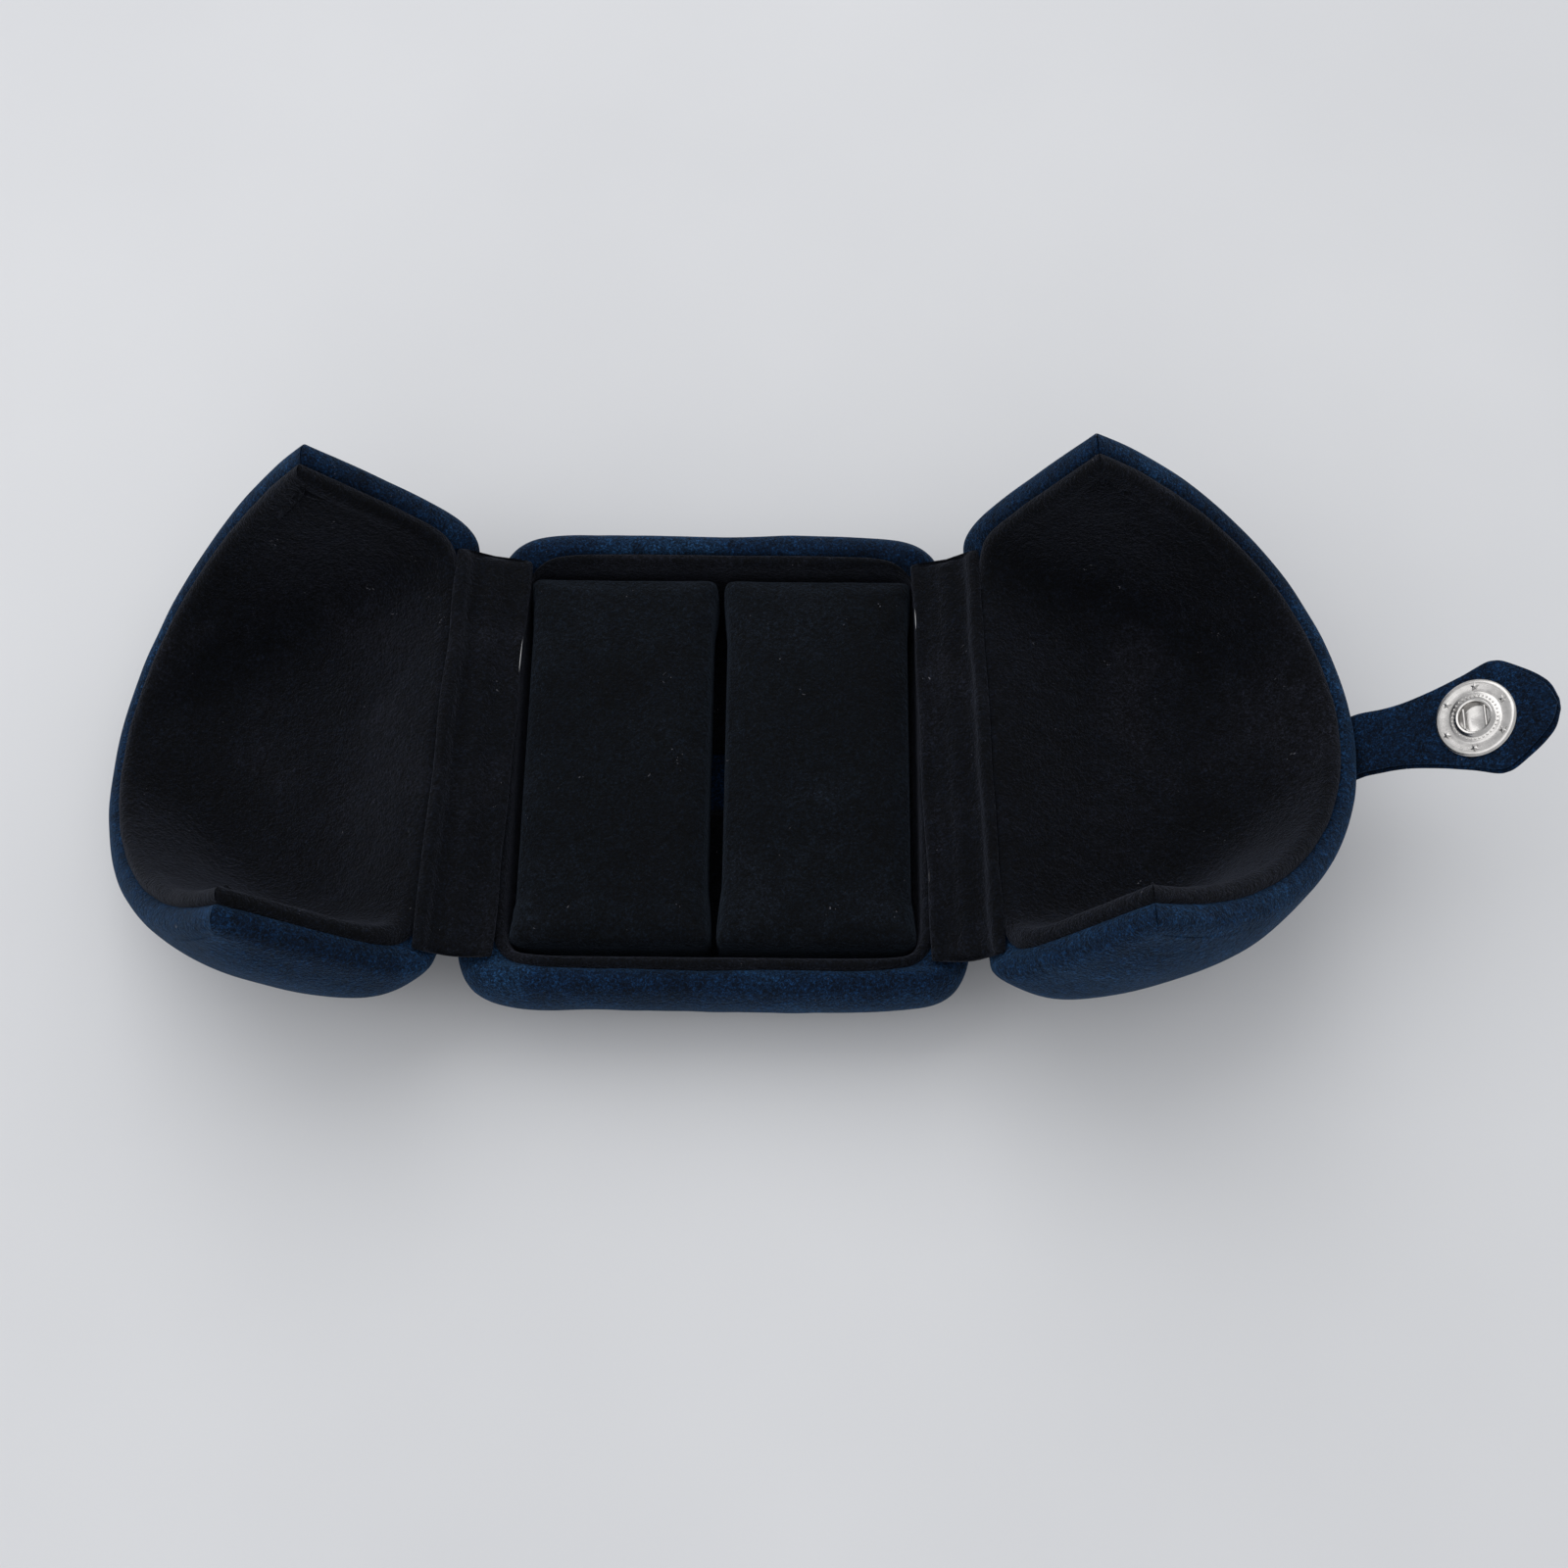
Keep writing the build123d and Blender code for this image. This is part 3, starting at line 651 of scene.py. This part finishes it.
# --- strap ------------------------------------------------------------------------------
FOLD_0 = np.array(JOINTS["strap_root_fold"]["pos_m"]) / MM
FOLD_1 = np.array(JOINTS["strap_middle_fold"]["pos_m"]) / MM
NECK = float(np.linalg.norm(FOLD_1 - FOLD_0))
ALONG = (FOLD_1 - FOLD_0) / NECK
ACROSS = -np.array(JOINTS["strap_root_fold"]["axis"])
INSIDE = np.cross(ALONG, ACROSS)                # the side that the socket is on
STRAP_LENGTH = 25.8
NECK_HALF, TAB_HALF = 4.6, 7.9
STRAP_CUT = NECK / 2                            # where the strap's two pieces meet
ROOT_LENGTH, ROOT_START, STRAP_OFFSET = 9.0, 0.6, -2.0
TAB_SHOULDER = 17.8
OUTER_DOWN, OUTER_THICK = 0.42, 0.80            # middle of the outer velvet below the folds
FACING_UP, FACING_THICK = 0.40, 0.78            # middle of the facing above them
STRAP_OUTLINE = [(-3.0, NECK_HALF), (3.0, NECK_HALF - 0.1), (8.0, NECK_HALF + 0.7),
                 (13.0, TAB_HALF - 1.3), (16.4, TAB_HALF - 0.15), (TAB_SHOULDER, TAB_HALF),
                 (19.2, TAB_HALF - 0.4), (21.5, TAB_HALF - 2.1), (23.7, TAB_HALF - 4.0),
                 (25.0, TAB_HALF - 5.6), (STRAP_LENGTH, 0.0)]


def curve_through(points, per_span=8):
    """Smooth (Catmull-Rom) curve through 2-D points."""
    points = np.array(points, float)
    padded = np.vstack((2 * points[0] - points[1], points, 2 * points[-1] - points[-2]))
    out = []
    for i in range(1, len(padded) - 2):
        p0, p1, p2, p3 = padded[i - 1:i + 3]
        for step in range(per_span):
            t = step / per_span
            out.append(0.5 * (2 * p1 + (p2 - p0) * t + (2 * p0 - 5 * p1 + 4 * p2 - p3) * t * t
                              + (3 * p1 - p0 - 3 * p2 + p3) * t ** 3))
    return np.vstack((out, points[-1]))


def band(centres, sides, ups, halves, thickness, across_steps=14, crease=0.0):
    """Closed padded strip: a flat loop of points round its section at every station."""
    grid = []
    for centre, side, up, half in zip(centres, sides, ups, halves):
        loop = []
        for step in range(2 * across_steps):
            turn = pi * (step + 0.5) / across_steps
            share_b, share_h = cos(turn), sin(turn)
            b = np.sign(share_b) * abs(share_b) ** 0.45 * half
            h = np.sign(share_h) * abs(share_h) ** 0.55 * thickness / 2
            dent = crease * np.exp(-(b / 0.7) ** 2) * (h > 0)
            loop.append(centre + side * b + up * (h - dent))
        grid.append(loop)
    grid = np.array(grid)
    rows, columns = grid.shape[:2]
    faces = grid_faces(rows, columns, close_columns=True)
    faces += [tuple(range(columns)), tuple(reversed(range((rows - 1) * columns, rows * columns)))]
    return grid.reshape(-1, 3), faces


def joined(parts):
    """Several point-and-face lists as one."""
    points, faces = [], []
    for some_points, some_faces in parts:
        start = sum(len(p) for p in points)
        points.append(some_points)
        faces += [tuple(start + index for index in face) for face in some_faces]
    return np.vstack(points), faces


def strap_half(stations):
    """Half width of the strap at distances from its first fold; the sewn end is straight."""
    outline = curve_through(STRAP_OUTLINE)
    return np.interp(stations, outline[:, 0], outline[:, 1])


def strap_layers(centres, sides, ups, stations):
    """Outer velvet and facing, edge to edge with a groove between them."""
    halves = strap_half(stations)
    wave = np.array([0.14 * noise.noise(Vector((s * 0.22, 2.0, 1.0))) for s in stations])
    peek = 0.25 + 0.55 * smooth_step(stations, TAB_SHOULDER, STRAP_LENGTH)
    outer = band(centres - ups * OUTER_DOWN, sides, ups, halves + peek + wave, OUTER_THICK)
    facing_halves = np.maximum(halves - 0.15 + wave / 2, 0.02)
    facing = band(centres + ups * FACING_UP, sides, ups, facing_halves, FACING_THICK, crease=0.16)
    return joined([outer, facing])


def strap_root_piece():
    """The end sewn down on the right lid's top, the first fold and half of the neck."""
    shut = []
    for x in np.linspace(ROOT_START + ROOT_LENGTH, ROOT_START + 1.4, 14):
        level = min(x / (WALL_X + 1), 1)
        z = HINGE_Z + LID_RISE * (1 - level ** 2) ** 0.5 + 0.95
        shut.append((x, STRAP_OFFSET, z))
    lid_part = open_out(np.array(shut), "right")
    neck_stations = np.append(np.linspace(1.0, STRAP_CUT - 0.15, 7), (STRAP_CUT - 0.04, STRAP_CUT))
    neck_part = FOLD_0 + neck_stations[:, None] * ALONG
    start, end = lid_part[-1], neck_part[0]
    start_way = lid_part[-1] - lid_part[-2]
    start_way = start_way / np.linalg.norm(start_way)
    reach = np.linalg.norm(end - start)
    turn = []
    for t in np.linspace(0, 1, 8)[1:-1]:
        turn.append((2 * t ** 3 - 3 * t ** 2 + 1) * start + (t ** 3 - 2 * t ** 2 + t) * reach * start_way
                    + (3 * t ** 2 - 2 * t ** 3) * end + (t ** 3 - t ** 2) * reach * ALONG)
    centres = np.vstack((lid_part, turn, neck_part))
    tangents = np.gradient(centres, axis=0)
    tangents /= np.linalg.norm(tangents, axis=1, keepdims=True)
    root_side = open_out(np.array([(0.0, 1.0, 0.0)]), "right") - open_out(np.zeros((1, 3)), "right")
    share = smooth_step(np.arange(len(centres)), 8, 20)[:, None]
    sides = root_side * (1 - share) + ACROSS * share
    ups = np.cross(tangents, sides)
    ups /= np.linalg.norm(ups, axis=1, keepdims=True)
    lead = len(centres) - len(neck_stations)
    stations = np.concatenate((np.linspace(-ROOT_LENGTH, 0.5, lead), neck_stations))
    points, faces = strap_layers(centres, sides, ups, stations)
    piece = make_piece("strap_root_velvet", points, faces, NAVY)
    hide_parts("strap_root", "strap_neck_facing", "strap_neck_stiffener", "strap_neck_outer")
    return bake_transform(piece)


SOCKET_AT = 15.0                                # snap centre from the strap's first fold
SEAT_R = 2.5                                    # hole through the facing
SEAT_DEPTH, SEAT_MIDDLE = 2.0, 0.99             # of the drill, and its middle above the folds


def cut_seat(piece):
    """Hole through the facing, for the cup that takes the stud's head."""
    drill = bmesh.new()
    bmesh.ops.create_cone(drill, cap_ends=True, segments=64, radius1=SEAT_R * MM, radius2=SEAT_R * MM,
                          depth=SEAT_DEPTH * MM)
    frame = Matrix([tuple(ALONG), tuple(ACROSS), tuple(INSIDE)]).transposed().to_4x4()
    frame.translation = Vector((FOLD_0 + ALONG * SOCKET_AT + INSIDE * SEAT_MIDDLE) * MM)
    bmesh.ops.transform(drill, matrix=frame, verts=drill.verts)
    bmesh.ops.recalc_face_normals(drill, faces=drill.faces)
    data = bpy.data.meshes.new("seat_drill")
    drill.to_mesh(data)
    drill.free()
    tool = bpy.data.objects.new("seat_drill", data)
    bpy.context.scene.collection.objects.link(tool)
    cut = piece.modifiers.new("seat", "BOOLEAN")
    cut.operation, cut.solver, cut.object = "DIFFERENCE", "EXACT", tool
    whole = evaluated_mesh(piece)
    piece.modifiers.clear()
    piece.data = whole
    bpy.data.objects.remove(tool)
    bpy.data.meshes.remove(data)


def strap_tab_piece():
    far = curve_through(STRAP_OUTLINE)[:, 0]
    stations = np.concatenate(((STRAP_CUT, STRAP_CUT + 0.04, STRAP_CUT + 0.15),
                               far[far > STRAP_CUT + 0.3]))
    centres = FOLD_0 + stations[:, None] * ALONG
    count = len(stations)
    sides, ups = np.tile(ACROSS, (count, 1)), np.tile(INSIDE, (count, 1))
    points, faces = strap_layers(centres, sides, ups, stations)
    piece = make_piece("strap_tab_velvet", points, faces, NAVY)
    cut_seat(piece)
    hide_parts("strap_tab_facing", "strap_tab_stiffener", "strap_tab_outer")
    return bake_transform(piece)


# --- snap socket ------------------------------------------------------------------------
SOCKET_PROFILE = [(0.0, -0.02), (2.45, -0.02), (2.6, 0.74), (5.30, 0.76), (5.48, 0.84), (5.52, 1.00),
                  (5.40, 1.17), (5.15, 1.27), (4.80, 1.26), (4.30, 1.18), (3.75, 1.15), (3.45, 1.18),
                  (3.30, 1.28), (3.00, 1.28), (2.80, 1.34), (2.62, 1.58), (2.42, 1.68), (2.20, 1.62),
                  (2.08, 1.42), (2.04, 0.95), (2.0, 0.14), (1.85, 0.06), (0.0, 0.06)]
STARS, STAR_RING, STAR_R = 6, 4.38, 0.62
STAR_WAIST, STAR_TURN = 0.45, 0.4                # inner points' share of the outer ones; first turn
STAR_LOW, STAR_EDGE, STAR_PEAK = 1.1, 1.34, 1.50
BEADS, BEAD_RING, BEAD_R, BEAD_LEVEL = 34, 3.14, 0.16, 1.28


def lathe(profile, steps=96):
    """Solid of revolution about the height axis; its profile starts and ends on the axis."""
    points = []
    for radius, height in profile:
        for turn in np.linspace(0, 2 * pi, steps, endpoint=False):
            points.append((radius * cos(turn), radius * sin(turn), height))
    faces = grid_faces(len(profile), steps, close_columns=True)
    return np.array(points), faces


def raised_star(turn):
    """Small five-pointed star with a peaked top."""
    outline = []
    for index in range(10):
        reach = STAR_R if index % 2 == 0 else STAR_R * STAR_WAIST
        outline.append((reach * cos(pi * index / 5), reach * sin(pi * index / 5)))
    points = [(x, y, height) for height in (STAR_LOW, STAR_EDGE) for x, y in outline]
    points.append((0, 0, STAR_PEAK))
    faces = grid_faces(2, 10, close_columns=True)
    faces += [(10 + index, 10 + (index + 1) % 10, 20) for index in range(10)]
    faces.append(tuple(range(10)))
    return np.array(points), faces, turn


def bead(turn):
    """Small round bead on the ring."""
    points = []
    for ring in range(5):
        slope = pi * ring / 4
        for step in range(8):
            around = 2 * pi * step / 8
            points.append((BEAD_R * sin(slope) * cos(around), BEAD_R * sin(slope) * sin(around),
                           BEAD_LEVEL + BEAD_R * cos(slope)))
    return np.array(points), grid_faces(5, 8, close_columns=True), turn


def at_ring(shape, ring):
    """Move a shape out to a ring and turn it round the socket."""
    points, faces, turn = shape
    points = points + (ring, 0, 0)
    spun = np.stack((points[:, 0] * cos(turn) - points[:, 1] * sin(turn),
                     points[:, 0] * sin(turn) + points[:, 1] * cos(turn), points[:, 2]), axis=1)
    return spun, faces


def snap_socket():
    parts = [lathe(SOCKET_PROFILE)]
    parts += [at_ring(raised_star(2 * pi * (i + STAR_TURN) / STARS), STAR_RING) for i in range(STARS)]
    parts += [at_ring(bead(2 * pi * i / BEADS), BEAD_RING) for i in range(BEADS)]
    points, faces = joined(parts)
    points = FOLD_0 + ALONG * SOCKET_AT + (points[:, :1] * ALONG + points[:, 1:2] * ACROSS
                                           + points[:, 2:] * INSIDE)
    piece = make_piece("snap_socket_ring", points, faces, NICKEL, subdivisions=0)
    piece.data.set_sharp_from_angle(angle=radians(40))
    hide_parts("snap_socket")
    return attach(piece, "strap_tab")


# --- CAD nodes that stay ----------------------------------------------------------------
CAD_LOOKS = {
    "snap_socket": NICKEL, "snap_cap": NICKEL, "snap_stud": NICKEL, "snap_stud_washer": NICKEL,
    "snap_socket_springs": WIRE, "base_shell": PLASTIC, "left_lid_shell": PLASTIC,
    "right_lid_shell": PLASTIC, "left_lid_padding": WADDING, "right_lid_padding": WADDING,
    "strap_neck_stiffener": CARD, "strap_tab_stiffener": CARD,
}


def dress_cad_nodes():
    for name, node in frame["nodes"].items():
        look = STEEL if "hinge" in name else CAD_LOOKS.get(name)
        if look is None:
            look = NAVY if "strap" in name or "cover" in name else LINING
        node.data.materials.clear()
        node.data.materials.append(look)


# --- camera, floor and light ------------------------------------------------------------
CAMERA_PLACE = (0.01071, -0.09188, 0.25579)
CAMERA_TILT = (20.04, 0.0, 0.58)
CAMERA_LENS = 40.43
FLOOR_HALF = 3.0                                # metres
SKY_STRENGTH = 0.66


def stage():
    data = bpy.data.cameras.new("camera")
    data.lens = CAMERA_LENS
    camera = bpy.data.objects.new("camera", data)
    camera.location = CAMERA_PLACE
    camera.rotation_euler = [radians(angle) for angle in CAMERA_TILT]
    bpy.context.scene.collection.objects.link(camera)
    bpy.context.scene.camera = camera

    nodes = Nodes("paper_floor")
    nodes.feed("Base Color", nodes.ramp(nodes.noise(9, 4, 0.5), [(0.35, (0.700, 0.708, 0.728)),
                                                               (0.65, (0.735, 0.743, 0.762))]))
    nodes.feed("Roughness", 0.85)
    nodes.bump([(nodes.noise(1400, 3, 0.6), 0.08, 0.0001)])
    corners = [(x * FLOOR_HALF, y * FLOOR_HALF, 0) for x, y in ((-1, -1), (1, -1), (1, 1), (-1, 1))]
    data = bpy.data.meshes.new("floor")
    data.from_pydata(corners, [], [(0, 1, 2, 3)])
    data.materials.append(nodes.material)
    floor = bpy.data.objects.new("floor", data)
    bpy.context.scene.collection.objects.link(floor)

    world = bpy.data.worlds.new("studio")
    world.use_nodes = True
    sky = world.node_tree.nodes["Background"]
    sky.inputs["Color"].default_value = (0.97, 0.98, 1.0, 1)
    sky.inputs["Strength"].default_value = SKY_STRENGTH
    bpy.context.scene.world = world
    lights = [("back_window", (-0.30, 0.70, 0.95), 1.1, 5.2), ("top_left", (-0.8, -0.1, 0.9), 0.8, 1.8)]
    for name, place, width, power in lights:
        lamp = bpy.data.lights.new(name, "AREA")
        lamp.size = width
        lamp.energy = power
        light = bpy.data.objects.new(name, lamp)
        light.location = place
        light.rotation_euler = (-Vector(place)).to_track_quat("-Z", "Y").to_euler()
        bpy.context.scene.collection.objects.link(light)
    bpy.context.scene.view_settings.view_transform = "Standard"


dress_cad_nodes()
tray_cover()
tray_lining()
for lid_side in ("left", "right"):
    lid_cover(lid_side)
    lid_lining(lid_side)
    ring_cushion(lid_side)
    gusset(lid_side)
strap_root_piece()
strap_tab_piece()
snap_socket()
stage()
